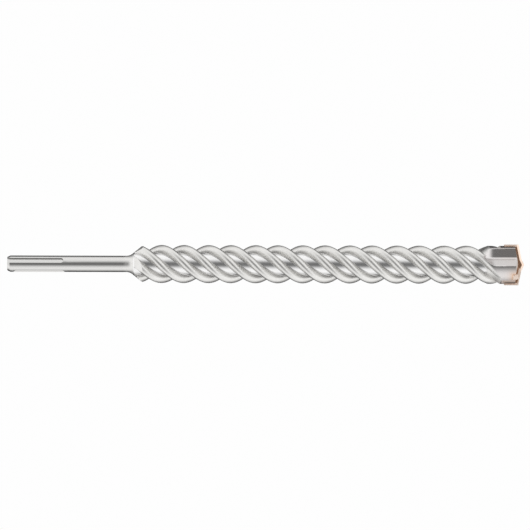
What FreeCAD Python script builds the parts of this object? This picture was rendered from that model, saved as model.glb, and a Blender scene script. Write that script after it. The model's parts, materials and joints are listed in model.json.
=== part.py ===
"""Hammer drill bit for masonry, 45 mm across and 570 mm long, with a slotted 18 mm shank.

The bit is drawn standing up: its axis is Z, its shank end is at height zero and its tip is at the
top. In each cross section, X points to one corner of the main cutter plate and Y lies a quarter
turn on, the way the flutes climb. When every piece is finished, the bit is laid down along X, with
its tip towards +X, as it comes to rest on two of its carbide corners, and its origin is under the
middle of the bit, on the surface.
All sizes are in millimetres and all angles in degrees.
"""

import FreeCAD, Part

import math
import os

from FreeCAD import Vector

# Overall sizes; the carbide stands proud of the lands by its clearance
overall_length = 570.0
cutting_diameter = 45.0
land_clearance = 1.5
land_diameter = cutting_diameter - 2 * land_clearance

# Shank
shank_diameter = 18.0
shank_end_chamfer = 3.0
shank_length = 131.0
root_radius = 11.0
root_cone_angle = 38.7

# Drive slots, open at the shank's end, and closed locking grooves
drive_slot_width = 5.6
drive_slot_depth = 2.3
drive_slot_length = 62.0
drive_slot_angles = (65.0, 210.0, 280.0)
lock_groove_width = 6.0
lock_groove_depth = 2.0
lock_groove_start = 7.0
lock_groove_length = 56.0
lock_groove_angles = (160.0, 340.0)

# Flutes: two wide ones and two narrow ones, with a pointed land between each pair
flute_lead = 103.8
flute_floor_radius = 13.0
land_width = 1.6
wide_floor_angle = 42.5
narrow_floor_angle = 31.8
lobe_angle = 52.9
flank_bulge = 2.3
wide_flute_angle_at_head = 57.0

# Head, measured back from the tip
head_shoulder_back = 34.0
head_shoulder_radius = 20.0
head_front_back = 10.5
head_point_angle = 12.0
narrow_flute_end_back = 21.8

# Chip notch in front of each corner of the main plate
notch_wall_offset = 10.5
notch_corner_height = 7.5
notch_slope_angle = 40.0
notch_corner_radius = 3.0
notch_start_back = 32.0
notch_runout_radius = 16.0

# Small chip groove beside each side cutter
side_groove_radius = 3.5
side_groove_angle = 155.5

# Main cutter plate
plate_thickness = 6.0
plate_back = 21.8
plate_edge_back = 1.6
plate_edge_angle = 11.5
centre_tip_length = 5.6
centre_tip_width = 0.4

# Side cutters, set a little inside the circle that the main plate cuts
side_cutter_thickness = 5.8
side_cutter_inset = 0.5
side_cutter_diameter = cutting_diameter - 2 * side_cutter_inset
side_cutter_inner_radius = 8.0
side_cutter_back = 13.4
side_cutter_edge_back = 2.6
side_cutter_angle = 130.0

# Ground facets on every cutting edge
edge_offset = 1.0
rake_facet_angle = 50.0
relief_facet_angle = 25.0

# Worked out from the sizes above
shank_radius = shank_diameter / 2
land_radius = land_diameter / 2
cutting_radius = cutting_diameter / 2
side_cutter_radius = side_cutter_diameter / 2
half_turn = 180.0
full_turn = 360.0
tool_margin = 4.0
overcut = 1.0
outer_reach = cutting_radius + tool_margin
axis = Vector(0, 0, 1)
centre = Vector(0, 0, 0)


def polar(radius, angle, height=0.0):
    """The point at a radius and an angle about the axis."""
    turn = math.radians(angle)
    return Vector(radius * math.cos(turn), radius * math.sin(turn), height)


def polygon(points):
    """A closed wire of straight sides."""
    return Part.makePolygon(points + points[:1])


def turned(shape, angle):
    """A copy of a shape, turned about the axis."""
    copy = shape.copy()
    copy.rotate(centre, axis, angle)
    return copy


def both_sides(shape):
    """A shape and its twin half a turn round the axis."""
    return [shape, turned(shape, half_turn)]


def revolved(wire):
    """The solid swept by an outline in the plane of X and Z, once round the axis."""
    return Part.Face(wire).revolve(centre, axis, full_turn)


def arc_from(middle, radius, start_angle, end_angle):
    """An arc in the plane of X and Z, given by its centre, radius and the angles of its ends."""
    turns = [math.radians(a) for a in (start_angle, (start_angle + end_angle) / 2, end_angle)]
    points = [middle + Vector(radius * math.cos(t), 0, radius * math.sin(t)) for t in turns]
    return Part.Arc(*points).toShape()


def blank():
    """The turned blank: chamfered shank, hollow root, cone, round body and pointed front."""
    root_middle = Vector(shank_radius + root_radius, 0, shank_length)
    root = arc_from(root_middle, root_radius, half_turn, half_turn - root_cone_angle)
    root_end = root.Vertexes[-1].Point
    cone_rise = land_radius - root_end.x
    cone_top = Vector(land_radius, 0, root_end.z + cone_rise / math.tan(math.radians(root_cone_angle)))
    front_edge = Vector(land_radius, 0, overall_length - head_front_back)
    front_rise = land_radius * math.tan(math.radians(head_point_angle))
    front_middle = Vector(0, 0, front_edge.z + front_rise)
    shank = Part.makePolygon([
        centre,
        Vector(shank_radius - shank_end_chamfer / 2, 0, 0),
        Vector(shank_radius, 0, shank_end_chamfer),
        Vector(shank_radius, 0, shank_length),
    ])
    body = Part.makePolygon([root_end, cone_top, front_edge, front_middle, centre])
    return revolved(Part.Wire(shank.Edges + [root] + body.Edges))


def flute_section(floor_angle):
    """The outline that one flute takes from the body, with its middle along X.

    The floor is an arc about the axis. Each flank is an arc that bulges into the flute, up to the
    edge of the land and a little past it, and the outline closes outside the body.
    """
    half_floor = floor_angle / 2
    half_land = math.degrees(math.asin(land_width / land_diameter))
    half_opening = half_floor + lobe_angle / 2 - half_land
    edges = [Part.Arc(polar(flute_floor_radius, -half_floor), polar(flute_floor_radius, 0),
                      polar(flute_floor_radius, half_floor)).toShape()]
    rim = []
    for side in (1, -1):
        foot = polar(flute_floor_radius, side * half_floor)
        crest = polar(land_radius, side * half_opening)
        run = crest - foot
        inward = Vector(run.y, -run.x, 0).normalize() * side
        flank = Part.Arc(foot, (foot + crest) / 2 + inward * flank_bulge, crest).toShape()
        past = flank.Curve.value(flank.LastParameter + overcut / flank.Curve.Radius)
        outside = past * (outer_reach / past.Length)
        edges += [Part.Arc(foot, crest, past).toShape(), Part.makeLine(past, outside)]
        rim.append(outside)
    edges.append(Part.Arc(rim[0], polar(outer_reach, 0), rim[1]).toShape())
    return Part.Wire(Part.__sortEdges__(edges))


def twisted_tool(section, start, end, start_angle):
    """A section swept up the axis from one height to another, turning with the flutes' lead."""
    length = end - start
    spine = Part.Wire(Part.makeLine(centre, Vector(0, 0, length)))
    guide = Part.makeHelix(flute_lead, length, land_radius)
    sweep = Part.BRepOffsetAPI.MakePipeShell(spine)
    sweep.setAuxiliarySpine(Part.Wire(guide.Edges), True, 0)
    sweep.add(section, False, False)
    sweep.build()
    sweep.makeSolid()
    tool = sweep.shape()
    tool.translate(Vector(0, 0, start))
    return turned(tool, start_angle)


def flute_angle(height):
    """The angle of the wide flute's middle at a height."""
    shoulder = overall_length - head_shoulder_back
    return wide_flute_angle_at_head + full_turn * (height - shoulder) / flute_lead


def head_shoulder():
    """The rounded shoulder of the head, where the wide flutes end."""
    top = overall_length - head_shoulder_back
    middle = Vector(land_radius + overcut - head_shoulder_radius, 0, top)
    foot_radius = flute_floor_radius - tool_margin
    fall = math.degrees(math.acos((foot_radius - middle.x) / head_shoulder_radius))
    foot = middle + Vector(head_shoulder_radius * math.cos(math.radians(fall)), 0,
                           -head_shoulder_radius * math.sin(math.radians(fall)))
    rise = arc_from(middle, head_shoulder_radius, -fall, 0)
    sides = Part.makePolygon([
        middle + Vector(head_shoulder_radius, 0, 0),
        Vector(outer_reach + tool_margin, 0, top),
        Vector(outer_reach + tool_margin, 0, overall_length),
        Vector(0, 0, overall_length),
        Vector(0, 0, foot.z),
        foot,
    ])
    return revolved(Part.Wire([rise] + sides.Edges))


def wide_flute_tools():
    """What the two wide flutes take, up to the head's shoulder."""
    end = overall_length - head_shoulder_back + tool_margin
    tool = twisted_tool(flute_section(wide_floor_angle), shank_length, end, flute_angle(shank_length))
    return both_sides(tool.cut(head_shoulder()))


def narrow_flute_tools():
    """What the two narrow flutes take, up to a hollow run-out behind the main plate."""
    end = overall_length - narrow_flute_end_back
    between = (wide_floor_angle + narrow_floor_angle) / 2 + lobe_angle
    start_angle = flute_angle(shank_length) - between
    tool = twisted_tool(flute_section(narrow_floor_angle), shank_length, end + tool_margin, start_angle)
    runout_radius = land_radius - flute_floor_radius + 2 * overcut
    middle = Vector(land_radius + overcut, 0, end - runout_radius)
    runout = arc_from(middle, runout_radius, half_turn, half_turn / 2)
    keep = Part.makePolygon([
        middle + Vector(0, 0, runout_radius),
        Vector(outer_reach + tool_margin, 0, end),
        Vector(outer_reach + tool_margin, 0, end + 2 * tool_margin),
        Vector(0, 0, end + 2 * tool_margin),
        Vector(0, 0, middle.z),
        middle - Vector(runout_radius, 0, 0),
    ])
    return both_sides(tool.cut(revolved(Part.Wire([runout] + keep.Edges))))


def notch_tools():
    """The chip notches in front of the main plate's corners.

    Each has a flat wall that faces along Y, a hollow corner and a slope down to the next land. A
    disc cutter sinks it, so its end towards the shank sweeps up round that cutter's axis.
    """
    start = overall_length - notch_start_back
    disc_axis = Vector(0, notch_wall_offset + notch_runout_radius, start)
    slope_turn = math.radians(notch_slope_angle)
    bend = math.radians(full_turn / 4 - notch_slope_angle) / 2
    setback = notch_corner_radius * math.tan(bend)
    corner = Vector(notch_corner_height, notch_wall_offset, start)
    on_wall = corner + Vector(setback, 0, 0)
    down_slope = Vector(-math.sin(slope_turn), math.cos(slope_turn), 0)
    on_slope = corner + down_slope * setback
    slope_end = corner + down_slope * (notch_runout_radius / math.cos(slope_turn))
    hollow_middle = on_wall + Vector(0, notch_corner_radius, 0)
    hollow_mid_point = hollow_middle + (corner - hollow_middle).normalize() * notch_corner_radius
    hollow = Part.Arc(on_wall, hollow_mid_point, on_slope).toShape()
    sides = Part.makePolygon([
        on_slope,
        slope_end,
        Vector(outer_reach, disc_axis.y, start),
        Vector(outer_reach, notch_wall_offset, start),
        on_wall,
    ])
    section = Part.Face(Part.Wire([hollow] + sides.Edges))
    front = section.extrude(Vector(0, 0, notch_start_back))
    runout = section.revolve(disc_axis, Vector(1, 0, 0), half_turn / 2)
    return both_sides(front.fuse(runout).removeSplitter())


def side_groove_tools():
    """The small round chip grooves that lead on from the narrow flutes."""
    start = overall_length - narrow_flute_end_back - (land_radius - flute_floor_radius) / 2
    tool = Part.makeCylinder(side_groove_radius, overall_length - start,
                             polar(land_radius, side_groove_angle, start))
    return both_sides(tool)


def drive_slot_tool(angle):
    """One drive slot: a flat floor, parallel walls and a half-round inner end."""
    floor = shank_radius - drive_slot_depth
    straight = drive_slot_length - drive_slot_width / 2
    channel = Part.makeBox(drive_slot_depth + tool_margin, drive_slot_width, straight + tool_margin,
                           Vector(floor, -drive_slot_width / 2, -tool_margin))
    end = Part.makeCylinder(drive_slot_width / 2, drive_slot_depth + tool_margin,
                            Vector(floor, 0, straight), Vector(1, 0, 0))
    return turned(channel.fuse(end), angle)


def lock_groove_tool(angle):
    """One locking groove: a round-bottomed channel, closed at both ends by round run-outs."""
    half_width = lock_groove_width / 2
    edge = math.sqrt(shank_radius ** 2 - half_width ** 2)
    floor = shank_radius - lock_groove_depth
    rise = edge - floor
    section_radius = (half_width ** 2 + rise ** 2) / (2 * rise)
    first = lock_groove_start + half_width
    last = lock_groove_start + lock_groove_length - half_width
    middle = floor + section_radius
    channel = Part.makeCylinder(section_radius, last - first, Vector(middle, 0, first), axis)
    ends = [Part.makeSphere(section_radius, Vector(middle, 0, height)) for height in (first, last)]
    return turned(channel.multiFuse(ends), angle)


def cutter_half(outer_radius, inner_radius, thickness, back, edge_back):
    """Half a cutter plate, from the inner radius out along X, with its leading face towards +Y.

    The section is a roof: its ridge is the cutting edge, with a steep rake facet in front and a
    gentle relief facet behind. The section is carried outwards and backwards along the edge.
    """
    half = thickness / 2
    ridge = overall_length - edge_back
    rear = overall_length - back
    fall = outer_reach * math.tan(math.radians(plate_edge_angle))
    rake_fall = (half - edge_offset) * math.tan(math.radians(rake_facet_angle))
    relief_fall = (half + edge_offset) * math.tan(math.radians(relief_facet_angle))
    section = polygon([
        Vector(0, -half, rear),
        Vector(0, -half, ridge - relief_fall),
        Vector(0, edge_offset, ridge),
        Vector(0, half, ridge - rake_fall),
        Vector(0, half, rear),
    ])
    roof = Part.Face(section).extrude(Vector(outer_reach, 0, -fall))
    rim = Part.makeCylinder(outer_radius, back, Vector(0, 0, rear))
    reach = Part.makeBox(outer_radius - inner_radius, thickness, back, Vector(inner_radius, -half, rear))
    return roof.common(rim.common(reach))


def centre_tip():
    """The steep centring tip on the main plate, a wedge with a short chisel edge across."""
    half = plate_thickness / 2
    chisel = centre_tip_width / 2
    base = overall_length - centre_tip_length
    wide = polygon([Vector(x, y, base) for x, y in ((half, half), (-half, half), (-half, -half),
                                                    (half, -half))])
    narrow = polygon([Vector(x, y, overall_length) for x, y in ((chisel, chisel), (-chisel, chisel),
                                                                (-chisel, -chisel), (chisel, -chisel))])
    return Part.makeLoft([wide, narrow], True, True)


def main_cutter():
    """The carbide plate that crosses the whole head, with an edge on each half and a centre tip."""
    half = cutter_half(cutting_radius, 0, plate_thickness, plate_back, plate_edge_back)
    return half.multiFuse([turned(half, half_turn), centre_tip()]).removeSplitter()


def side_cutter(angle):
    """A short carbide plate set into one side of the head."""
    plate = cutter_half(side_cutter_radius, side_cutter_inner_radius, side_cutter_thickness,
                        side_cutter_back, side_cutter_edge_back)
    return turned(plate, angle)


def plate_seats():
    """The slots that hold the three carbide plates, each open at the front and at the rim."""
    height = overall_length
    main = Part.makeBox(2 * outer_reach, plate_thickness, height,
                        Vector(-outer_reach, -plate_thickness / 2, overall_length - plate_back))
    side = Part.makeBox(outer_reach, side_cutter_thickness, height,
                        Vector(side_cutter_inner_radius, -side_cutter_thickness / 2,
                               overall_length - side_cutter_back))
    return [main] + both_sides(turned(side, side_cutter_angle))


def drill_body():
    """The steel body in one piece: shank, fluted length and head."""
    tools = wide_flute_tools() + narrow_flute_tools() + notch_tools() + side_groove_tools()
    tools += [drive_slot_tool(angle) for angle in drive_slot_angles]
    tools += [lock_groove_tool(angle) for angle in lock_groove_angles]
    tools += plate_seats()
    body = blank()
    for tool in tools:
        body = body.cut(tool)
    return body


def plate_corner(radius, thickness, plate_angle, side):
    """Where one long edge of a plate's rim stands in the cross section."""
    return polar(radius, plate_angle + side * math.degrees(math.asin(thickness / 2 / radius)))


def down_direction():
    """The direction from the axis to the surface that the bit lies on, and how far away it is.

    Rolled over a table, the bit stops where one corner of the main plate and the near corner of a
    side cutter both touch, so the surface runs through those two corners.
    """
    main_corner = plate_corner(cutting_radius, plate_thickness, full_turn, -1)
    side_corner = plate_corner(side_cutter_radius, side_cutter_thickness,
                               side_cutter_angle + half_turn, 1)
    along = (main_corner - side_corner).normalize()
    down = Vector(along.y, -along.x, 0)
    return down, main_corner.dot(down)


def laid_down(shape):
    """A shape turned from standing to lying along X, rolled to its rest and set on the surface."""
    down, axis_height = down_direction()
    rest_roll = math.degrees(math.atan2(down.y, down.x)) + half_turn
    placed = shape.copy()
    placed.rotate(centre, axis, -rest_roll)
    placed.transformShape(FreeCAD.Matrix(0, 0, 1, -overall_length / 2,
                                         0, -1, 0, 0,
                                         1, 0, 0, axis_height,
                                         0, 0, 0, 1))
    return placed


def pieces():
    """Every piece of the bit, by name."""
    return {
        "drill_body": drill_body(),
        "main_cutter": main_cutter(),
        "side_cutter_1": side_cutter(side_cutter_angle),
        "side_cutter_2": side_cutter(side_cutter_angle + half_turn),
    }


os.makedirs("parts", exist_ok=True)
for name, shape in pieces().items():
    laid_down(shape).exportStep(f"parts/{name}.step")
    print(f"{name}: {len(shape.Solids)} solid, {shape.Volume / 1000:.1f} cm3, valid {shape.isValid()}")
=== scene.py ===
# %% [markdown]
# # A masonry hammer drill bit
#
# The object is a long drill bit for a large hammer drill: a slotted round shank, a body with two
# wide and two narrow flutes that climb like a screw, and a head with one carbide plate across it
# and two shorter ones set into its sides. It lies on a pale surface, on two of its carbide corners.
#
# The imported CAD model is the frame. The steel body is replaced here by a finer surface of the same
# form, because its flutes are mirrors and need smooth normals. The carbide plates are replaced by
# ones whose ridges are honed and whose centring tip is blunt.

import json
import math

import bpy
import numpy as np
from mathutils import Matrix, Vector

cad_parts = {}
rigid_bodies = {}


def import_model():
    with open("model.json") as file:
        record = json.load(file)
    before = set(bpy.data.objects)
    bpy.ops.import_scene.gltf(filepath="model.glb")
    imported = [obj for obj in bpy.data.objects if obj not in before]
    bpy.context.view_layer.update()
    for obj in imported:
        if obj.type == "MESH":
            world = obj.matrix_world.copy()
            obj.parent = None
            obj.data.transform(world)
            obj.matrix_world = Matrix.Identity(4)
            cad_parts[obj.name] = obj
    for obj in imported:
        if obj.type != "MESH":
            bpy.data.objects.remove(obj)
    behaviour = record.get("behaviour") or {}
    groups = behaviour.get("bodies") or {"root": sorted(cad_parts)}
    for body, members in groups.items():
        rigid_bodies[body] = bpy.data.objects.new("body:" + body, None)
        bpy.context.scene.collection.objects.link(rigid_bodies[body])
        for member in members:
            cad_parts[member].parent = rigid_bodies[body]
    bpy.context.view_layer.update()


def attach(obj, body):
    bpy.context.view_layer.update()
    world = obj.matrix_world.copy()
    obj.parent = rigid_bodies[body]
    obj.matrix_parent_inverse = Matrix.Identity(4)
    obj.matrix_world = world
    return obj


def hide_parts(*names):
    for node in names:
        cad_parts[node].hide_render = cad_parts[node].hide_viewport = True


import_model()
scene = bpy.context.scene

# %% [markdown]
# ## Sizes
#
# These are the bit's own sizes in millimetres and degrees, the ones that the CAD was made from, but
# for narrow flutes that run out further back. The bit is thought of as standing up: a height along
# it counts from the shank's end, and an angle round it counts from the middle of the main plate's
# first half, the way the flutes climb.

# %% Sizes of the bit
overall_length = 570.0
land_radius = 21.0
shank_radius = 9.0
shank_length = 131.0
flute_lead = 103.8
flute_floor_radius = 13.0
head_shoulder = overall_length - 34.0
plate_back = overall_length - 21.8
narrow_flute_end = overall_length - 26.0
main_plate_radius = 22.5
main_plate_thickness = 6.0
side_plate_radius = 22.0
side_plate_thickness = 5.8
side_plate_angle = 130.0
side_plate_inner = 8.0
side_plate_back = overall_length - 13.4
print("The flutes turn once in", flute_lead, "mm")

# %% [markdown]
# ## How it lies
#
# Rolled over a table, the bit stops where a corner of the main plate and the near corner of a side
# plate both touch. The line through those two corners is the table, so its normal is straight down.
# Every point of the new surfaces goes through one function that lays the standing bit down.

# %% Laying the bit down
def corner(radius, thickness, angle, side):
    """A plate's rim corner in the cross section: its radius, at half its thickness off its angle."""
    turn = math.radians(angle) + side * math.asin(thickness / 2 / radius)
    return np.array([radius * math.cos(turn), radius * math.sin(turn)])


main_corner = corner(main_plate_radius, main_plate_thickness, 360, -1)
side_corner = corner(side_plate_radius, side_plate_thickness, side_plate_angle + 180, 1)
table_line = (main_corner - side_corner) / np.linalg.norm(main_corner - side_corner)
down = np.array([table_line[1], -table_line[0]])
axis_height = float(main_corner @ down)
rest_roll = math.degrees(math.atan2(down[1], down[0])) + 180


def laid_down(height, radius, angle):
    """Metres in the row frame: X runs along the bit from its middle, and Y and Z are the sine and
    cosine of the angle less the roll, times the radius, with Z lifted to the axis's height."""
    turn = np.radians(angle - rest_roll)
    x = height - overall_length / 2
    points = np.stack([x, -radius * np.sin(turn), radius * np.cos(turn) + axis_height], axis=-1)
    return points / 1000


print("Roll", round(rest_roll, 2), "degrees, axis", round(axis_height, 3), "mm up")

# %% [markdown]
# ## The turned blank
#
# Before its flutes were cut, the bit was a turned bar: a chamfered shank end, the straight shank, a
# hollow root, a cone and the round body. A profile of radius against height says all of that, and
# it is the outer limit of the steel everywhere.

# %% The blank's profile
chamfer_rise = 1.5
chamfer_length = 3.0
root_radius = 11.0
root_angle = math.radians(38.7)
root_end = shank_length + root_radius * math.sin(root_angle)
root_end_radius = shank_radius + root_radius * (1 - math.cos(root_angle))
cone_end = root_end + (land_radius - root_end_radius) / math.tan(root_angle)


def blank_radius(height):
    """The chamfer's slope, then the shank, then the root's arc, then the cone's slope, then the body."""
    chamfer = shank_radius - chamfer_rise * (1 - np.clip(height / chamfer_length, 0, 1))
    into_root = np.clip(height - shank_length, 0, root_end - shank_length)
    arc = root_radius - np.sqrt(root_radius**2 - into_root**2)
    cone = np.clip(height - root_end, 0, cone_end - root_end) * math.tan(root_angle)
    return chamfer + arc + cone


print("The cone runs from", round(root_end, 1), "to", round(cone_end, 1), "mm")

# %% [markdown]
# ## The flutes' section
#
# Cut across, the body shows four lobes with a wide and a narrow hollow by turns. A lobe's flank is
# an arc from the flute's floor up to a narrow land, rounded over at the crest. The section never
# changes: it only turns as it climbs. So the columns of the mesh are laid along the lobes, and each
# keeps one radius.

# %% Sizes of the section
wide_floor = 42.5
narrow_floor = 31.8
lobe = 52.9
land_width = 1.6
flank_bulge = 2.3
crest_round = 4.0
wide_flute_at_shoulder = 57.0

half_land = math.degrees(math.asin(land_width / 2 / land_radius))
half_lobe = lobe / 2
foot_angle = math.sqrt((half_lobe + crest_round - half_land) ** 2 - crest_round**2)
print("A lobe's foot lies", round(foot_angle, 1), "degrees off its crest")

# %% One lobe
def on_section(radius, angle):
    """A point of the cross section from its radius and its angle in degrees."""
    return radius * np.array([math.cos(math.radians(angle)), math.sin(math.radians(angle))])


def flank_circle():
    """The centre and radius of the arc through the flank's foot, its bulged middle and its crest."""
    foot = on_section(flute_floor_radius, half_lobe)
    crest = on_section(land_radius, half_land)
    run = crest - foot
    half_chord = np.linalg.norm(run) / 2
    outward = np.array([-run[1], run[0]]) / (2 * half_chord)
    radius = (half_chord**2 + flank_bulge**2) / (2 * flank_bulge)
    return (foot + crest) / 2 + outward * (flank_bulge - radius), radius


flank_middle, flank_radius = flank_circle()


def lobe_radius(off_crest):
    """The section's radius at an angle off a lobe's crest: where a ray from the axis leaves the
    flank's circle, held between the floor and the land. The angle is eased near the crest, as the
    root of its square and the rounding's square, less the rounding."""
    eased = np.sqrt(off_crest**2 + crest_round**2) - crest_round + half_land
    turn = np.radians(np.minimum(eased, half_lobe))
    reach = flank_middle[0] * np.cos(turn) + flank_middle[1] * np.sin(turn)
    radius = reach + np.sqrt(np.maximum(reach**2 - flank_middle @ flank_middle + flank_radius**2, 0))
    radius = np.where(np.abs(off_crest) >= foot_angle, flute_floor_radius, radius)
    return np.clip(radius, flute_floor_radius, land_radius)


print("The flank's arc has a radius of", round(flank_radius, 2), "mm")

# %% Columns round the body
wide_floor_steps = 7
narrow_floor_steps = 6
flank_steps = 12
foot_gap = 0.35


def side_of_lobe(floor, floor_steps):
    """Angles from a lobe's crest to the middle of the next floor, with one column at the foot."""
    flank = np.linspace(0, foot_angle - foot_gap, flank_steps)[1:]
    bed = np.linspace(foot_angle + 2 * foot_gap, half_lobe + floor / 2, floor_steps)
    return np.concatenate([flank, [foot_angle], bed])


def section_columns():
    """Angles and radii of every column, once round from one lobe's crest."""
    wide_side = side_of_lobe(wide_floor, wide_floor_steps)
    narrow_side = side_of_lobe(narrow_floor, narrow_floor_steps)
    wide_pitch = lobe + wide_floor
    narrow_pitch = lobe + narrow_floor
    crests = np.array([0, wide_pitch, wide_pitch + narrow_pitch, 2 * wide_pitch + narrow_pitch])
    angles, radii = [], []
    for number, crest in enumerate(crests):
        after = wide_side if number % 2 == 0 else narrow_side
        before = narrow_side if number % 2 == 0 else wide_side
        off = np.concatenate([-before[-2::-1], [0], after])
        angles.append(crest + off)
        radii.append(lobe_radius(off))
    return np.concatenate(angles), np.concatenate(radii)


column_angles, column_radii = section_columns()
first_crest = wide_flute_at_shoulder - half_lobe - wide_floor / 2


def flute_turn(height):
    """How far the section has turned at a height: one turn for each lead, up to the flutes' end."""
    climbed = np.minimum(height, plate_back) - head_shoulder
    return first_crest + 360 * climbed / flute_lead


print("Columns round the body:", len(column_angles))

# %% [markdown]
# ## The head's hollows
#
# The wide flutes end on the head's round shoulder and the narrow ones in a hollow run-out behind
# the main plate. In front of each corner of that plate lies a chip notch: a flat wall, a hollow
# corner and a slope, sunk by a disc cutter whose edge leaves a round run-out. A small round groove
# runs beside each side plate.

# %% Sizes of the hollows
shoulder_arc = 20.0
notch_wall = 10.5
notch_corner = 7.5
notch_slope = math.radians(40.0)
notch_fillet = 3.0
notch_disc = 16.0
notch_start = overall_length - 32.0
groove_radius = 3.5
groove_angle = math.radians(155.5)
groove_start = plate_back - (land_radius - flute_floor_radius) / 2
runout_arc = 40.0
runout_rise = 10.0
past_land = 1.0
search_start = 9.5
search_end = land_radius + 0.5
search_steps = 47
halvings = 16
print("Notches from", notch_start, "mm, grooves from", groove_start, "mm")

# %% [markdown]
# A boolean cut would leave long thin faces here. Instead, each hollow is a rule that says how deep
# inside it a point is, and every ray from the axis is followed until it enters one: first in even
# steps, and then by halving the last step.

# %% How the hollows are found
def flute_ends(height):
    """The least radius that the wide flutes' shoulder and the narrow flutes' run-out leave."""
    below_shoulder = np.clip(head_shoulder - height, 0, shoulder_arc)
    shoulder = land_radius + past_land - shoulder_arc + np.sqrt(shoulder_arc**2 - below_shoulder**2)
    run = math.sqrt(runout_arc**2 - (runout_arc - runout_rise) ** 2)
    along = np.clip(height - (narrow_flute_end - run), 0, run)
    runout = land_radius + past_land - runout_rise + runout_arc - np.sqrt(runout_arc**2 - along**2)
    return shoulder, runout


def depth_in_hollows(radius, angle, height):
    """How far inside a notch or a groove a point is: the least of its distances past the notch's
    wall and slope, or what is left of the fillet's or the groove's radius."""
    turn = np.radians(angle % 180)
    across = radius * np.cos(turn)
    up = radius * np.sin(turn)
    disc_height = notch_wall + notch_disc
    behind = np.maximum(notch_start - height, 0)
    level = disc_height - np.hypot(disc_height - up, behind)
    past_wall = level - notch_wall
    corner_reach = notch_corner * math.cos(notch_slope) + notch_wall * math.sin(notch_slope)
    past_slope = across * math.cos(notch_slope) + level * math.sin(notch_slope) - corner_reach
    setback = notch_fillet * math.tan((math.pi / 2 - notch_slope) / 2)
    from_middle = (across - notch_corner - setback, level - notch_wall - notch_fillet)
    heading = np.arctan2(from_middle[1], from_middle[0])
    in_fillet = (heading > notch_slope - math.pi) & (heading < -math.pi / 2)
    fillet = notch_fillet - np.hypot(*from_middle)
    notch = np.where(in_fillet, fillet, np.minimum(past_wall, past_slope))
    groove_off = (across - land_radius * math.cos(groove_angle), up - land_radius * math.sin(groove_angle))
    groove = np.where(height > groove_start, groove_radius - np.hypot(*groove_off), -1.0)
    return np.maximum(notch, groove)


def hollow_radius(angle, height):
    """The radius where a ray from the axis first enters a hollow, or just past the land if none."""
    steps = np.linspace(search_start, search_end, search_steps)
    depths = depth_in_hollows(steps[:, None, None], angle, height)
    first = np.argmax(depths > 0, axis=0)
    missed = ~(depths > 0).any(axis=0)
    low = steps[np.maximum(first - 1, 0)]
    high = steps[first]
    for _ in range(halvings):
        halfway = (low + high) / 2
        inside = depth_in_hollows(halfway, angle, height) > 0
        high = np.where(inside, halfway, high)
        low = np.where(inside, low, halfway)
    return np.where(missed, steps[-1], high)


print("Each ray is searched in", search_steps - 1, "steps and", halvings, "halvings")

# %% [markdown]
# ## The shank's slots
#
# The hammer's chuck drives the bit by keys in three open slots, and holds it by rollers in two
# closed grooves. A slot's walls are parallel, so seen from the axis they lean over, and a radius
# for each angle can't describe them. Instead each slot gets a fixed set of columns, which follow
# its edge, wall and floor, draw together in its round end, and spread out again on the plain shank.

# %% Sizes of the slots
drive_slots = (65.0, 210.0, 280.0)
drive_half_width = 2.8
drive_floor = shank_radius - 2.3
drive_end = 62.0
lock_grooves = (160.0, 340.0)
lock_half_width = 3.0
lock_floor = shank_radius - 2.0
lock_start = 7.0
lock_end = 63.0
lock_edge = math.sqrt(shank_radius**2 - lock_half_width**2)
lock_radius = (lock_half_width**2 + (lock_edge - lock_floor) ** 2) / (2 * (lock_edge - lock_floor))
gathered = 0.02
drive_spread_length = 5.0
lock_spread_length = 4.0
slot_edge = 0.14
edge_share = 0.3
least_edge = 0.001
widest_share = 0.99
touching = 1e-6
slot_spread = np.array([-1.07, -1.0, -0.93, -0.86, -0.79, -0.72, 0.0, 0.72, 0.79, 0.86, 0.93, 1.0, 1.07])
bed_spread = np.array([1.05, 1.0, 0.94, 0.8, 0.6, 0.3, 0.0])
print("Columns in each slot:", len(slot_spread))

# %% Outline of a slot at one height
def on_circle(across, radius):
    """How far out a point of the circle is, from its distance across."""
    return np.sqrt(radius**2 - across**2)


def drive_outline(height, radius):
    """A drive slot's columns at one height: distance across and distance out for each."""
    left = np.clip(drive_end - height, 0, None)
    round_part = max(drive_half_width - left, 0.0)
    half = math.sqrt(max(drive_half_width**2 - round_part**2, 0.0))
    plain = slot_spread * drive_half_width
    if height >= drive_end:
        draw = min(1.0, gathered + (height - drive_end) / drive_spread_length)
        return plain * draw, on_circle(plain * draw, radius)
    rim = on_circle(half, radius)
    edge = min(slot_edge, edge_share * (rim - drive_floor), edge_share * half + least_edge)
    across = np.array([half + edge, half, half, half, half, half - edge, 0.0])
    outer = min(half + edge, radius * widest_share)
    out = np.array([on_circle(outer, radius), rim, rim - edge, drive_floor + edge, drive_floor,
                    drive_floor, drive_floor])
    across = np.concatenate([-across, across[-2::-1]])
    return across, np.concatenate([out, out[-2::-1]])


def lock_outline(height, radius):
    """A locking groove's columns: a round bed, with a ball-shaped run-out at each end."""
    near = lock_start + lock_half_width
    far = lock_end - lock_half_width
    past = max(near - height, height - far, 0.0)
    bed_middle = lock_floor + lock_radius
    plain = slot_spread * lock_half_width
    bed_squared = lock_radius**2 - past**2
    if bed_squared <= (bed_middle - radius) ** 2 + touching:
        meet = math.sqrt(max(lock_radius**2 - (bed_middle - shank_radius) ** 2, 0.0))
        draw = min(1.0, gathered + max(past - meet, 0.0) / lock_spread_length)
        return plain * draw, on_circle(plain * draw, radius)
    out_at_edge = (radius**2 - bed_squared + bed_middle**2) / (2 * bed_middle)
    half = math.sqrt(max(radius**2 - out_at_edge**2, 0.0))
    across = half * bed_spread
    out = bed_middle - np.sqrt(np.maximum(bed_squared - across**2, 0))
    out[:2] = on_circle(across[:2], radius)
    across = np.concatenate([-across, across[-2::-1]])
    return across, np.concatenate([out, out[-2::-1]])


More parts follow.
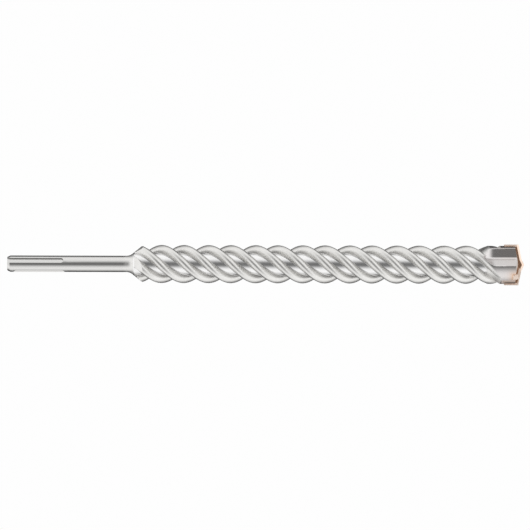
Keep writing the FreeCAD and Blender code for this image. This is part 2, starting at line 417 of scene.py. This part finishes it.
print("A groove's bed has a radius of", round(lock_radius, 2), "mm")

# %% Rings of the shank
slot_places = sorted(drive_slots + lock_grooves)
slot_room = 40.0


def plain_share(spare):
    """How many plain columns lie between each slot and the next, by the angle between them."""
    gaps = np.diff(np.append(slot_places, slot_places[0] + 360)) - slot_room
    share = np.floor(spare * gaps / gaps.sum()).astype(int)
    share[np.argmax(gaps)] += spare - share.sum()
    return share


def shank_ring(height):
    """Angles and radii of one ring: each slot's columns, and plain ones shared out between them."""
    radius = float(blank_radius(np.array(height)))
    parts = []
    for angle in slot_places:
        outline = drive_outline if angle in drive_slots else lock_outline
        across, out = outline(height, radius)
        parts.append((angle + np.degrees(np.arctan2(across, out)), np.hypot(across, out)))
    spare = len(column_angles) - len(parts) * len(slot_spread)
    starts = np.array([part[0][-1] for part in parts])
    ends = np.array([part[0][0] for part in parts[1:]] + [parts[0][0][0] + 360])
    share = plain_share(spare)
    angles, radii = [], []
    for part, start, end, count in zip(parts, starts, ends, share):
        angles += [part[0], np.linspace(start, end, count + 2)[1:-1]]
        radii += [part[1], np.full(count, radius)]
    return np.concatenate(angles), np.concatenate(radii)


print("Plain columns between slots:", plain_share(len(column_angles) - len(slot_places) * len(slot_spread)))

# %% [markdown]
# ## One surface for the steel
#
# Rings are stacked from the shank's end to the head's front. On the plain shank the columns ease
# from their places at the slots to their places on the lobes. In the head every gap gets one more
# column, because the notches' edges cross the columns there. Both ends close on a middle point.

# %% Heights of the rings
chamfer_edge = 0.12
bed_start = lock_start + lock_half_width
runouts_start = 59.0
runouts_end = 64.0
slots_clear = 68.0
fine_start = 515.0


def spaced(start, end, apart):
    """Heights from start up to end, without the end, about so far apart."""
    return np.linspace(start, end, max(int(round((end - start) / apart)), 1), endpoint=False)


slot_heights = np.concatenate([
    [0.0, chamfer_edge, chamfer_length / 2, chamfer_length - chamfer_edge, chamfer_length + chamfer_edge],
    spaced(4.0, lock_start, 1.0),
    spaced(lock_start, bed_start, 0.3),
    spaced(bed_start, runouts_start, 7.0),
    spaced(runouts_start, runouts_end, 0.2),
    spaced(runouts_end, slots_clear, 0.8),
])
plain_heights = spaced(slots_clear, shank_length, 5.0)
body_heights = np.concatenate([
    spaced(shank_length, cone_end + 1, 0.4),
    spaced(cone_end + 1, fine_start, 1.3),
])
head_heights = spaced(fine_start, plate_back, 0.42)
front_steps = np.concatenate([np.linspace(0, 0.97, 26), [0.985, 1.0]])
print("Rings on the body:", len(body_heights), "and on the head:", len(head_heights) + len(front_steps))

# %% [markdown]
# The first column of the body can follow any column of the shank. The one that twists the plain
# shank's columns least is chosen, by trying them all.

# %% Joining the shank's columns to the lobes
slot_rings = [shank_ring(height) for height in slot_heights]
last_angles, _ = shank_ring(plain_heights[0])
body_start_angles = column_angles + flute_turn(shank_length)
turns = np.round((body_start_angles.mean() - last_angles.mean()) / 360)
wrapped = np.concatenate([body_start_angles - 360 * turns + 360 * k for k in (-1, 0, 1)])
fits = [np.abs(wrapped[k:k + len(last_angles)] - last_angles).mean() for k in range(2 * len(last_angles))]
shift = int(np.argmin(fits))
order = (np.arange(len(last_angles)) + shift) % len(last_angles)
start_angles = wrapped[shift:shift + len(last_angles)]
print("The lobes' columns meet the slots' within", round(min(fits), 1), "degrees")

# %% Rings from the shank's end to the head
section_radii = column_radii[order]
column_offset = start_angles - flute_turn(shank_length)

eased_over = ((plain_heights - plain_heights[0]) / (shank_length - plain_heights[0]))[:, None]
angle_rows = [
    np.stack([ring[0] for ring in slot_rings]),
    last_angles * (1 - eased_over) + start_angles * eased_over,
    column_offset + flute_turn(body_heights)[:, None],
]
radius_rows = [
    np.stack([ring[1] for ring in slot_rings]),
    np.full((len(plain_heights), len(last_angles)), shank_radius),
    np.minimum(section_radii, blank_radius(body_heights)[:, None]),
]
height_rows = [np.repeat(rows[:, None], len(last_angles), axis=1)
               for rows in (slot_heights, plain_heights, body_heights)]
coarse = [np.concatenate(rows) for rows in (height_rows, radius_rows, angle_rows)]
print("Rings behind the head:", len(coarse[0]), "with", coarse[0].shape[1], "columns")

# %% [markdown]
# Two lobes with a wide flute between them and a narrow one after them come twice round the bit. So
# each column's angle is taken within one such pair, and then off whichever crest is nearer.

# %% Columns of the head
def with_midpoints(values, closing):
    """A row of columns with one more between each two; closing is what one turn adds."""
    following = np.append(values[1:], values[0] + closing)
    return np.stack([values, (values + following) / 2], axis=-1).reshape(-1)


fine_offset = with_midpoints(column_offset, 360.0)
lobe_pitch = 2 * lobe + wide_floor + narrow_floor
into_pair = (fine_offset - column_angles[0]) % lobe_pitch + column_angles[0]
off_first = into_pair
off_second = into_pair - (lobe + wide_floor)
near_second = np.abs(off_second) < np.abs(off_first)
off_crest = np.where(near_second, off_second, off_first)
off_crest = np.where(into_pair > lobe + wide_floor + lobe, into_pair - lobe_pitch, off_crest)
fine_wide = (into_pair > 0) & (into_pair < lobe + wide_floor)
fine_radii = lobe_radius(off_crest)
print("Columns in the head:", len(fine_offset))

# %% Rings of the head
milled_margin = 0.02


def head_radius(angle, height):
    """The flutes with their ends, cut by the hollows and never outside the body, and where they cut."""
    shoulder, runout = flute_ends(height)
    fluted = np.where(fine_wide, np.maximum(fine_radii, shoulder), np.maximum(fine_radii, runout))
    hollow = hollow_radius(angle, height)
    milled_here = (hollow < fluted - milled_margin).astype(float)
    return np.minimum(np.minimum(fluted, land_radius), hollow), milled_here


head_angles = fine_offset + flute_turn(head_heights)[:, None]
head_grid = np.repeat(head_heights[:, None], len(fine_offset), axis=1)
head_radii, head_milled = head_radius(head_angles, head_grid)
print("Milled points behind the plates:", int(head_milled.sum()))

# %% [markdown]
# The front is a shallow cone. From the plates' back on, the rings keep their angles and rise to the
# cone's rim, and the last ones shrink towards its middle.

# %% Front of the head
front_cone = math.tan(math.radians(12.0))
front_edge = overall_length - 10.5
rim_angles = fine_offset + flute_turn(overall_length)
rim_radii = head_radius(rim_angles[None, :], np.full((1, len(rim_angles)), front_edge))[0][0]
rim_heights = front_edge + (land_radius - rim_radii) * front_cone
side_heights = plate_back + (rim_heights - plate_back) * front_steps[:, None]
side_angles = np.repeat(rim_angles[None, :], len(front_steps), axis=0)
side_radii, side_milled = head_radius(side_angles, np.minimum(side_heights, front_edge))

cap_scale = np.array([0.99, 0.97, 0.9, 0.8, 0.65, 0.5, 0.35, 0.2, 0.08])[:, None]
cap_radii = rim_radii * cap_scale
cap_heights = front_edge + (land_radius - cap_radii) * front_cone
cap_angles = np.repeat(rim_angles[None, :], len(cap_scale), axis=0)
fine = [np.concatenate(rows) for rows in (
    (head_grid, side_heights, cap_heights),
    (head_radii, side_radii, cap_radii),
    (head_angles, side_angles, cap_angles),
)]
print("Rings in the head:", len(fine[0]), "with", fine[0].shape[1], "columns")

# %% [markdown]
# Four neighbouring points of two rings make a face. Arrays of corner numbers go into the mesh at
# once, which is far quicker than adding faces one by one. Edges over a limit angle are left sharp.

# %% Faces and meshes
sharp_edge = 26.0


def ring_faces(rows, columns, first):
    """Quads between neighbouring rings, wound so that they face outwards."""
    row, column = np.meshgrid(np.arange(rows - 1), np.arange(columns), indexing="ij")
    after = (column + 1) % columns
    corners = [row * columns + column, row * columns + after,
               (row + 1) * columns + after, (row + 1) * columns + column]
    return first + np.stack(corners, axis=-1).reshape(-1, 4)


def fan_faces(ring_first, columns, middle, outward_last):
    """Triangles from one ring to its middle point, wound for the first or the last ring."""
    column = np.arange(columns)
    after = (column + 1) % columns
    ends = (column, after) if outward_last else (after, column)
    return np.stack([ring_first + ends[0], ring_first + ends[1], np.full(columns, middle)], axis=-1)


def new_piece(name, points, quads, triangles):
    """A mesh object from points in metres and two arrays of faces, smooth but for its sharp edges."""
    mesh = bpy.data.meshes.new(name)
    faces = np.concatenate([quads.reshape(-1), triangles.reshape(-1)])
    totals = np.concatenate([np.full(len(quads), 4), np.full(len(triangles), 3)])
    mesh.vertices.add(len(points))
    mesh.vertices.foreach_set("co", points.reshape(-1).astype(np.float32))
    mesh.loops.add(len(faces))
    mesh.loops.foreach_set("vertex_index", faces.astype(np.int32))
    mesh.polygons.add(len(totals))
    mesh.polygons.foreach_set("loop_start", np.concatenate([[0], np.cumsum(totals)[:-1]]).astype(np.int32))
    mesh.polygons.foreach_set("loop_total", totals.astype(np.int32))
    mesh.update(calc_edges=True)
    mesh.validate()
    mesh.polygons.foreach_set("use_smooth", np.ones(len(mesh.polygons), dtype=bool))
    mesh.set_sharp_from_angle(angle=math.radians(sharp_edge))
    piece = bpy.data.objects.new(name, mesh)
    scene.collection.objects.link(piece)
    return piece


print("Edges over", sharp_edge, "degrees stay sharp")

# %% The steel mesh
columns = coarse[0].shape[1]
fine_columns = fine[0].shape[1]
coarse_count = coarse[0].size
fine_count = fine[0].size
front_height = front_edge + land_radius * front_cone
poles = (np.array([0.0, front_height]), np.zeros(2), np.zeros(2))
heights, radii, angles = [np.concatenate([behind.reshape(-1), ahead.reshape(-1), ends])
                          for behind, ahead, ends in zip(coarse, fine, poles)]
points = laid_down(heights, radii, angles)

last_ring = coarse_count - columns
column = np.arange(columns)
after = (column + 1) % columns
in_head = coarse_count + 2 * column
join_triangles = np.stack([last_ring + column, in_head + 1, in_head], axis=-1)
join_quads = np.stack([last_ring + column, last_ring + after, coarse_count + 2 * after, in_head + 1], axis=-1)
quads = np.concatenate([
    ring_faces(len(coarse[0]), columns, 0),
    join_quads,
    ring_faces(len(fine[0]), fine_columns, coarse_count),
])
triangles = np.concatenate([
    join_triangles,
    fan_faces(0, columns, coarse_count + fine_count, False),
    fan_faces(coarse_count + fine_count - fine_columns, fine_columns, coarse_count + fine_count + 1, True),
])
steel = new_piece("drill_body_steel", points, quads, triangles)
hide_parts("drill_body")
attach(steel, "root")
print("Triangles in the steel:", 2 * len(quads) + len(triangles))

# %% [markdown]
# ## Where each finish lies
#
# One bar of steel carries four finishes: the shank is ground, the lobes are blasted, the flutes'
# floors are polished and the head's hollows are milled. Near the plates, brazing has tinted the
# steel. Each of these is stored as a value on the mesh's points, so the material can follow the
# shape. A last value says where a point would be if the flutes were untwisted: a pattern that is
# long in that space runs along the flutes like the marks of the cutter that made them.

# %% Finish values on the steel
polish_depth = 0.5
polish_start = shank_length + 8
braze_reach = 3.2


def outside_plate(height, radius, angle, plate_angle, half_thickness, inner, rear):
    """Distance to a plate's seat: how far a point lies beside, behind and inside the plate's block."""
    turn = np.radians(angle - plate_angle)
    beside = np.maximum(np.abs(radius * np.sin(turn)) - half_thickness, 0)
    inside = np.maximum(inner - np.abs(radius * np.cos(turn)), 0)
    behind = np.maximum(rear - height, 0)
    return np.sqrt(beside**2 + inside**2 + behind**2)


def store(piece, name, values):
    """Keep one number, or one vector, for every point of a piece's mesh."""
    kind = "FLOAT_VECTOR" if values.ndim == 2 else "FLOAT"
    layer = piece.data.attributes.new(name, kind, "POINT")
    layer.data.foreach_set("vector" if values.ndim == 2 else "value", values.reshape(-1).astype(np.float32))


offsets = [np.broadcast_to(column_offset, coarse[0].shape), np.broadcast_to(fine_offset, fine[0].shape)]
untwisted = np.radians(np.concatenate([offset.reshape(-1) for offset in offsets] + [np.zeros(2)]))
along_flutes = np.stack([radii * np.cos(untwisted), radii * np.sin(untwisted), heights], axis=-1)
milled = np.concatenate([np.zeros(coarse_count), head_milled.reshape(-1), side_milled.reshape(-1),
                         np.zeros(cap_radii.size + 2)])
on_body = (heights > polish_start) & (heights < plate_back)
polished = np.where(on_body, np.clip(1 - (radii - flute_floor_radius) / polish_depth, 0, 1), 0) * (1 - milled)
to_main = outside_plate(heights, radii, angles, 0.0, main_plate_thickness / 2, 0.0, plate_back)
to_side = outside_plate(heights, radii, angles, side_plate_angle, side_plate_thickness / 2,
                        side_plate_inner, side_plate_back)
brazed = np.exp(-np.minimum(to_main, to_side) / braze_reach)
for layer_name, layer_values in (("milled", milled), ("polished", polished), ("brazed", brazed),
                                 ("along_flutes", along_flutes)):
    store(steel, layer_name, layer_values)
print("Polished points:", int((polished > 0.5).sum()), "milled points:", int((milled > 0.5).sum()))

# %% [markdown]
# ## The carbide plates
#
# The cutters are sintered blocks of tungsten carbide, brazed into slots and ground to a roof: a
# steep rake facet in front of each edge and a gentle relief facet behind it. The main plate has an
# edge on each half and a blunt centring tip. A plate is a profile across its thickness, carried
# from one rim to the other: its top follows the roof, and its rim follows the circle that it cuts.

# %% The ground roofs
edge_fall = math.tan(math.radians(11.5))
rake_slope = math.tan(math.radians(50.0))
relief_slope = math.tan(math.radians(25.0))
edge_offset = 1.0
edge_hone = 0.08
main_edge = overall_length - 1.6
side_edge = overall_length - 2.6
tip_fall_along = 0.49
tip_fall_across = 1.0
tip_flat = 0.35


def roof(out, across, ridge):
    """Height of the ground roof: it falls outwards along the edge, steeply in front of the ridge and
    gently behind it. The two facets meet in a small honed round, the logarithm of the sum of their
    exponentials."""
    front = (across - edge_offset) * rake_slope
    rear = (edge_offset - across) * relief_slope
    return ridge - out * edge_fall - edge_hone * np.logaddexp(front / edge_hone, rear / edge_hone)


def main_top(out, across):
    """The roof on each half, its lead side turned over on the second, and the tip where it is higher."""
    edges = roof(np.abs(out), np.where(out >= 0, across, -across), main_edge)
    fall_along = np.maximum(np.abs(out) - tip_flat, 0) * tip_fall_along
    fall_across = np.maximum(np.abs(across) - tip_flat, 0) * tip_fall_across
    return np.maximum(edges, overall_length - (fall_along + fall_across))


def side_top(out, across):
    """The roof of a side plate."""
    return roof(out, across, side_edge)


print("The main edge starts", round(overall_length - main_edge, 1), "mm behind the tip")

# %% [markdown]
# A plate's columns lie closer on both sides of its ridges, where the honed round is. Each face also
# keeps how far the grinding wheel has brightened it, and whether it carries the rim's painted highlight.

# %% Points, faces and finish of a plate
plate_columns = 13
ridge_margin = 0.2
ridge_columns = 5
# width of the strip beside each rim that carries a painted highlight
rim_highlight_strip = 2.6
rim_grinding = 0.95


def across_places(half):
    """Distances across a plate, even ones and closer ones on both sides of each ridge."""
    near_ridges = [np.linspace(ridge - ridge_margin, ridge + ridge_margin, ridge_columns)
                   for ridge in (edge_offset, -edge_offset)]
    return np.unique(np.round(np.concatenate([np.linspace(-half, half, plate_columns), *near_ridges]), 4))


def plate_faces(stations, width):
    """Quads of the loops between two ends, then of the first end, then of the last."""
    loop = 2 * width
    row, column = np.meshgrid(np.arange(stations - 1), np.arange(loop), indexing="ij")
    after = (column + 1) % loop
    sides = np.stack([row * loop + column, (row + 1) * loop + column,
                      (row + 1) * loop + after, row * loop + after], axis=-1).reshape(-1, 4)
    strip = np.arange(width - 1)
    first_end = np.stack([strip, strip + 1, loop - 2 - strip, loop - 1 - strip], axis=-1)
    last_end = first_end[:, ::-1] + (stations - 1) * loop
    return np.concatenate([sides, first_end, last_end])


def rim_values(near_rim, width, both_ends_on_rim):
    """Which faces belong to the roof, and which lie on the rim or in the strip beside it, where a highlight
    is painted.
    """
    top_column = np.arange(2 * width) < width - 1
    on_top = np.broadcast_to(top_column, (len(near_rim), 2 * width)).reshape(-1)
    in_highlight_strip = np.repeat(near_rim, 2 * width) & ~on_top
    first_end = np.full(width - 1, both_ends_on_rim)
    last_end = np.ones(width - 1, dtype=bool)
    is_top = np.concatenate([on_top, np.zeros(2 * (width - 1), dtype=bool)])
    return is_top, np.concatenate([in_highlight_strip, first_end, last_end])


# The rims and the strip beside them are painted with a pale highlight.
print("A strip of", rim_highlight_strip, "mm beside each rim is rough")

# %% Carbide plates
def plate_piece(name, node, plate_angle, thickness, rim_radius, inner, rear, top, stations):
    """A closed plate: rows of a top and a bottom run from the inner face, or the far rim, to the rim,
    where the distance out is the root of the rim's radius squared less the distance across squared."""
    across = across_places(thickness / 2)
    rim = np.sqrt(rim_radius**2 - across**2)
    start = -rim if inner is None else np.full(len(across), inner)
    out = start + (rim - start) * np.linspace(0, 1, stations)[:, None]
    upper = top(out, np.broadcast_to(across, out.shape))
    loop_out = np.concatenate([out, out[:, ::-1]], axis=1)
    loop_across = np.broadcast_to(np.concatenate([across, across[::-1]]), loop_out.shape)
    loop_height = np.concatenate([upper, np.full(upper.shape, rear)], axis=1)
    loop_angle = plate_angle + np.degrees(np.arctan2(loop_across, loop_out))
    corners = laid_down(loop_height, np.hypot(loop_out, loop_across), loop_angle).reshape(-1, 3)
    faces = plate_faces(stations, len(across))
    piece = new_piece(name, corners, faces, np.zeros((0, 3), dtype=int))
    # Painted highlight: faces of the rims and of the strip beside them get the pale pink of the carbide
    # finish.
    near_rim = np.abs(out[:-1, 0]) > rim_radius - rim_highlight_strip
    is_top, in_rim_highlight = rim_values(near_rim, len(across), inner is None)
    ground = np.where(is_top, 1.0, rim_grinding * in_rim_highlight)
    for layer_name, values in (("ground", ground), ("rim_highlight_strip", in_rim_highlight)):
        layer = piece.data.attributes.new(layer_name, "FLOAT", "FACE")
        layer.data.foreach_set("value", values.astype(np.float32))
    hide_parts(node)
    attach(piece, "root")
    print(name, "has", len(faces), "faces")
    return piece


main_stations = 181
side_stations = 61
plates = [plate_piece("main_cutter_carbide", "main_cutter", 0.0, main_plate_thickness, main_plate_radius,
                      None, plate_back, main_top, main_stations)]
for number, half_turn in ((1, 0.0), (2, 180.0)):
    plates.append(plate_piece(
        f"side_cutter_{number}_carbide", f"side_cutter_{number}", side_plate_angle + half_turn,
        side_plate_thickness, side_plate_radius, side_plate_inner, side_plate_back, side_top, side_stations))

# %% [markdown]
# ## Camera
#
# The photograph is a side view taken from far away: the flutes keep the same size along the whole
# bit. So the camera stands three metres off, square on to the axis, and looks along the direction
# from which the main plate's corners stand up and down. The bit's rest doesn't ask for that, so the
# camera is turned about the view's direction until the picture's top is where the photograph's is.

# %% Camera
millimetres_per_pixel = 1.1038
picture_width = 530
view_angle = 90.0
camera_distance = 3.0
film_width = 36.0
picture_tilt = math.radians(0.15)
middle_along = -0.0009
middle_down = 0.0008
toward_camera = Vector(laid_down(0.0, 1000.0, view_angle) - laid_down(0.0, 0.0, 0.0))
picture_up = Vector(laid_down(0.0, 1000.0, 0.0) - laid_down(0.0, 0.0, 0.0))
picture_right = picture_up.cross(toward_camera)
camera_data = bpy.data.cameras.new("camera")
camera_data.sensor_width = film_width
camera_data.lens = film_width * camera_distance * 1000 / (picture_width * millimetres_per_pixel)
camera = bpy.data.objects.new("camera", camera_data)
scene.collection.objects.link(camera)
right = picture_right * math.cos(picture_tilt) + picture_up * math.sin(picture_tilt)
up = picture_up * math.cos(picture_tilt) - picture_right * math.sin(picture_tilt)
middle = Vector((middle_along, 0, axis_height / 1000)) - picture_up * middle_down
camera.matrix_world = Matrix((
    (right.x, up.x, toward_camera.x, middle.x + toward_camera.x * camera_distance),
    (right.y, up.y, toward_camera.y, middle.y + toward_camera.y * camera_distance),
    (right.z, up.z, toward_camera.z, middle.z + toward_camera.z * camera_distance),
    (0, 0, 0, 1),
))
scene.camera = camera
print("Camera direction:", [round(v, 3) for v in toward_camera])

# %% [markdown]
# ## Materials
#
# One helper adds a node with its settings and links, and one turns a hex colour into the linear
# values that the renderer works with. The others name what the nodes do: noise, a stretched vector,
# a share that grows along a value, a value kept on the mesh, and a mix of two values or colours.

# %% Material helpers
def linear(hex_colour):
    """Each sRGB channel over 0.04045 is shifted, scaled and raised to 2.4; smaller ones are divided."""
    channels = [int(hex_colour[i:i + 2], 16) / 255 for i in (1, 3, 5)]
    return [c / 12.92 if c <= 0.04045 else ((c + 0.055) / 1.055) ** 2.4 for c in channels] + [1.0]


def feed(socket, source):
    """Link another node's socket to an input, or give the input a value."""
    if isinstance(source, bpy.types.NodeSocket):
        socket.id_data.links.new(source, socket)
    else:
        socket.default_value = source


def set_up(node, **settings):
    """Set a node's attributes, and link or set its inputs, all by their names."""
    for name, value in settings.items():
        if hasattr(node, name):
            setattr(node, name, value)
        else:
            feed(node.inputs[name.replace("_", " ")], value)
    return node


def add(tree, kind, **settings):
    """A new node of a kind, set up."""
    return set_up(tree.nodes.new(kind), **settings)


def noise(tree, vector, scale, detail):
    """The strength of a noise pattern on a vector."""
    node = add(tree, "ShaderNodeTexNoise", Vector=vector, Scale=scale, Detail=detail)
    return node.outputs["Fac"]


def stretched(tree, vector, scale):
    """A vector with its three parts scaled."""
    return add(tree, "ShaderNodeMapping", Vector=vector, Scale=scale).outputs["Vector"]


def blend(tree, value, start, end, **settings):
    """A share that goes from 0 to 1, or between other values, as a value goes from start to end."""
    node = add(tree, "ShaderNodeMapRange", Value=value, From_Min=start, From_Max=end, **settings)
    return node.outputs["Result"]


def attribute(tree, name):
    """The value that a piece's mesh keeps under a name."""
    return add(tree, "ShaderNodeAttribute", attribute_name=name).outputs["Fac"]


def mixed(share, first, second, kind="FLOAT"):
    """The first value or colour where the share is 0, and the second where it is 1."""
    node = add(share.id_data, "ShaderNodeMix", data_type=kind)
    ending = {"RGBA": "Color", "FLOAT": "Float"}[kind]
    inputs = {socket.identifier: socket for socket in node.inputs}
    outputs = {socket.identifier: socket for socket in node.outputs}
    feed(inputs["Factor_Float"], share)
    feed(inputs[f"A_{ending}"], first)
    feed(inputs[f"B_{ending}"], second)
    return outputs[f"Result_{ending}"]


def mixed_colour(share, first, second):
    """Two colours mixed, each a socket or a hex colour."""
    colours = [linear(colour) if isinstance(colour, str) else colour for colour in (first, second)]
    return mixed(share, *colours, kind="RGBA")


def finish_named(name):
    """A new material with an empty tree, its shader and its output."""
    material = bpy.data.materials.new(name)
    material.use_nodes = True
    tree = material.node_tree
    tree.nodes.clear()
    shader = add(tree, "ShaderNodeBsdfPrincipled")
    add(tree, "ShaderNodeOutputMaterial", Surface=shader.outputs["BSDF"])
    return material, tree, shader


print("White in linear values:", linear("#ffffff"))

# %% [markdown]
# ## Steel: ground, blasted, polished and milled
#
# The body is quenched and tempered alloy steel, left bare. Grinding leaves the shank bright with
# fine rings. Blasting takes the lobes to an even grey satin. The flutes' floors are smoother than
# the lobes and mirror the room, with streaks that run along the flute, and the milled faces of the
# head mirror it most. All of it is one metal, so only the roughness, the fine relief and a little
# of the colour change from place to place.

# %% Patterns of the steel
blasted_grain = 0.7
ring_spacing = 0.5
ring_stretch = 60.0
streak_width = 0.9
streak_length = 40.0
cloud_size = 14.0
shank_end_x = (shank_length - overall_length / 2) / 1000
shank_blend = 0.004
head_start_x = 0.246
head_full_x = 0.256

steel_finish, steel_tree, steel_shader = finish_named("ground_and_blasted_tool_steel")
place = add(steel_tree, "ShaderNodeTexCoord").outputs["Object"]
along = add(steel_tree, "ShaderNodeAttribute", attribute_name="along_flutes").outputs["Vector"]
along_x = add(steel_tree, "ShaderNodeSeparateXYZ", Vector=place).outputs["X"]
polished_share = attribute(steel_tree, "polished")
milled_share = attribute(steel_tree, "milled")
brazed_share = attribute(steel_tree, "brazed")
shank_share = blend(steel_tree, along_x, shank_end_x - shank_blend, shank_end_x, To_Min=1.0, To_Max=0.0)
head_share = blend(steel_tree, along_x, head_start_x, head_full_x)
streak_scale = (1 / streak_width, 1 / streak_width, 1 / streak_length)
streaks = noise(steel_tree, stretched(steel_tree, along, streak_scale), 1.0, 3.0)
grain = noise(steel_tree, place, 1000 / blasted_grain, 2.0)
ring_scale = (1000 / ring_spacing, ring_stretch, ring_stretch)
rings = noise(steel_tree, stretched(steel_tree, place, ring_scale), 1.0, 2.0)
clouds = noise(steel_tree, place, 1000 / cloud_size, 3.0)
print("Pattern nodes:", len(steel_tree.nodes))

# %% [markdown]
# The finishes are laid over each other, from the lobes' to the brazing tint. Each share decides how
# much of the next one shows.

# %% Steel finish
blasted_colour = mixed_colour(clouds, "#dfdedb", "#edecea")
polished_colour = mixed_colour(streaks, "#e2e1e0", "#ffffff")
steel_colour = mixed_colour(polished_share, blasted_colour, polished_colour)
steel_colour = mixed_colour(milled_share, steel_colour, "#dcd9d8")
steel_colour = mixed_colour(shank_share, steel_colour, "#dddcda")
steel_colour = mixed_colour(brazed_share, steel_colour, "#dcb597")

head_rough = 0.62
milled_rough = 0.24
shank_rough = 0.2
blasted_rough = mixed(head_share, mixed(grain, 0.3, 0.42), head_rough)
polished_rough = mixed(streaks, 0.10, 0.26)
steel_rough = mixed(polished_share, blasted_rough, polished_rough)
steel_rough = mixed(milled_share, steel_rough, milled_rough)
steel_rough = mixed(shank_share, steel_rough, shank_rough)

relief_strength = 0.35
relief_depth = 0.00006
relief = mixed(shank_share, mixed(polished_share, grain, streaks), rings)
steel_bump = add(steel_tree, "ShaderNodeBump", Height=relief, Strength=relief_strength, Distance=relief_depth)

# Painted shade: a grey edge tint darkens the steel's grazing reflections and draws a dark line along the
# outline.
outline_shade_tint = (0.6, 0.6, 0.6, 1)
set_up(steel_shader, Metallic=1.0, Specular_Tint=outline_shade_tint, Base_Color=steel_colour,
       Roughness=steel_rough, Normal=steel_bump.outputs["Normal"])
steel.data.materials.append(steel_finish)
print("Steel nodes:", len(steel_tree.nodes))

# %% [markdown]
# ## Carbide: brazed and ground
#
# The plates are tungsten carbide with a cobalt binder, a dark grey by itself. Here the braze and
# the heat have left them a copper-pink, and the ground facets show it bright and satin, while the
# faces that the grinding wheel never touched are dull brown. The rims, and a strip beside each, get
# a painted highlight: a pale and hardly metallic pink that shows bright whatever they face.

# %% Carbide finish
grind_length = 4.0
grind_width = 0.4
stain_size = 3.0
grind_strength = 0.3
grind_depth = 0.00005
# metallic share of the painted rim highlight
rim_highlight_metal = 0.12
dull_rough = 0.6
facet_rough = 0.36

carbide_finish, carbide_tree, carbide_shader = finish_named("brazed_tungsten_carbide")
plate_place = add(carbide_tree, "ShaderNodeTexCoord").outputs["Object"]
rim_highlight_share = attribute(carbide_tree, "rim_highlight_strip")
ground_share = attribute(carbide_tree, "ground")
grind_scale = (1000 / grind_length, 1000 / grind_width, 1000 / grind_width)
grinding = noise(carbide_tree, stretched(carbide_tree, plate_place, grind_scale), 1.0, 2.0)
stain = noise(carbide_tree, plate_place, 1000 / stain_size, 3.0)
facet_colour = mixed_colour(grinding, "#efd2bb", "#f9e6d8")
dull_colour = mixed_colour(stain, "#9a7860", "#b8937a")
# Painted highlight: the rims and the strips beside them take a pale pink over every other colour.
carbide_colour = mixed_colour(rim_highlight_share, mixed_colour(ground_share, dull_colour, facet_colour), "#f7e3d4")
carbide_bump = add(carbide_tree, "ShaderNodeBump", Height=grinding, Strength=grind_strength,
                   Distance=grind_depth)
# The painted rim highlight is hardly metallic, so it shows bright where metal would mirror the dark.
set_up(carbide_shader, Base_Color=carbide_colour, Metallic=mixed(rim_highlight_share, 1.0, rim_highlight_metal),
       Roughness=mixed(ground_share, dull_rough, facet_rough), Normal=carbide_bump.outputs["Normal"])
for plate in plates:
    plate.data.materials.append(carbide_finish)
print("Carbide nodes:", len(carbide_tree.nodes))

# %% [markdown]
# ## Studio
#
# Bare metal shows the room and little else, so the room is the light: a tent of white cloth round
# the bit, with a dark opening where the camera looks in and dark edges behind the bit. The dark
# opening gives the grey middle of the shank and the flutes, and the dark edges draw the thin dark
# line along the outline, together with a painted shade in the steel's edge tint. A white floor lies
# under the bit, and the metal sees the tent instead of it.

# %% Floor
floor_reach = 6.0
floor_glow = 0.99
floor_mesh = bpy.data.meshes.new("floor")
floor_corners = [(-floor_reach, -floor_reach, 0), (floor_reach, -floor_reach, 0),
                 (floor_reach, floor_reach, 0), (-floor_reach, floor_reach, 0)]
floor_mesh.from_pydata(floor_corners, [], [(0, 1, 2, 3)])
floor = bpy.data.objects.new("floor", floor_mesh)
scene.collection.objects.link(floor)
floor_finish, _, floor_shader = finish_named("white_table")
set_up(floor_shader, Base_Color=(0, 0, 0, 1), Emission_Color=(1, 1, 1, 1), Emission_Strength=floor_glow,
       Specular_IOR_Level=0.0)
floor.data.materials.append(floor_finish)
floor.visible_glossy = False
floor.visible_shadow = False
print("Floor", 2 * floor_reach, "m wide")

# %% [markdown]
# The tent's brightness goes round the bit, in degrees from the camera towards the picture's top.
# Towards the ends of the bit it gives way to the level of that end.

# %% Light tent
tent_brightness = (
    (-180, 0.06), (-132, 0.07), (-118, 0.25), (-104, 0.75), (-75, 1.08), (-50, 1.0), (-35, 0.74), (-22, 0.4),
    (-12, 0.2), (0, 0.17), (12, 0.2), (22, 0.4), (35, 0.74), (50, 1.0), (85, 1.08), (106, 0.85), (120, 0.28),
    (134, 0.07), (180, 0.06),
)
tip_end_brightness = 1.2
shank_end_brightness = 1.1
end_start = 0.5
end_full = 0.92
level_reach = 0.4

world = bpy.data.worlds.new("light_tent")
world.use_nodes = True
world_tree = world.node_tree
world_tree.nodes.clear()
tent_axes = Matrix((toward_camera, picture_up, -picture_right))
direction = add(world_tree, "ShaderNodeTexCoord").outputs["Object"]
turning = tent_axes.to_euler()
turned = add(world_tree, "ShaderNodeMapping", Vector=direction, Rotation=turning).outputs["Vector"]
round_bit = add(world_tree, "ShaderNodeTexGradient", Vector=turned, gradient_type="RADIAL")
ramp = add(world_tree, "ShaderNodeValToRGB", Fac=round_bit.outputs["Fac"])
stops = ramp.color_ramp.elements
for angle, level in tent_brightness:
    at_rim = abs(angle) == 180
    stop = stops[0 if angle < 0 else -1] if at_rim else stops.new(angle / 360 + 0.5)
    stop.color = (level, level, level, 1)
lengthwise = add(world_tree, "ShaderNodeSeparateXYZ", Vector=turned).outputs["Z"]
size_along = add(world_tree, "ShaderNodeMath", Value=lengthwise, operation="ABSOLUTE")
at_end = blend(world_tree, size_along.outputs["Value"], end_start, end_full)
end_level = blend(world_tree, lengthwise, -level_reach, level_reach, To_Min=tip_end_brightness,
                  To_Max=shank_end_brightness)
tent = mixed_colour(at_end, ramp.outputs["Color"], end_level)
background = add(world_tree, "ShaderNodeBackground", Color=tent)
add(world_tree, "ShaderNodeOutputWorld", Surface=background.outputs["Background"])
scene.world = world
scene.view_settings.view_transform = "Standard"
print("Tent stops:", len(stops))
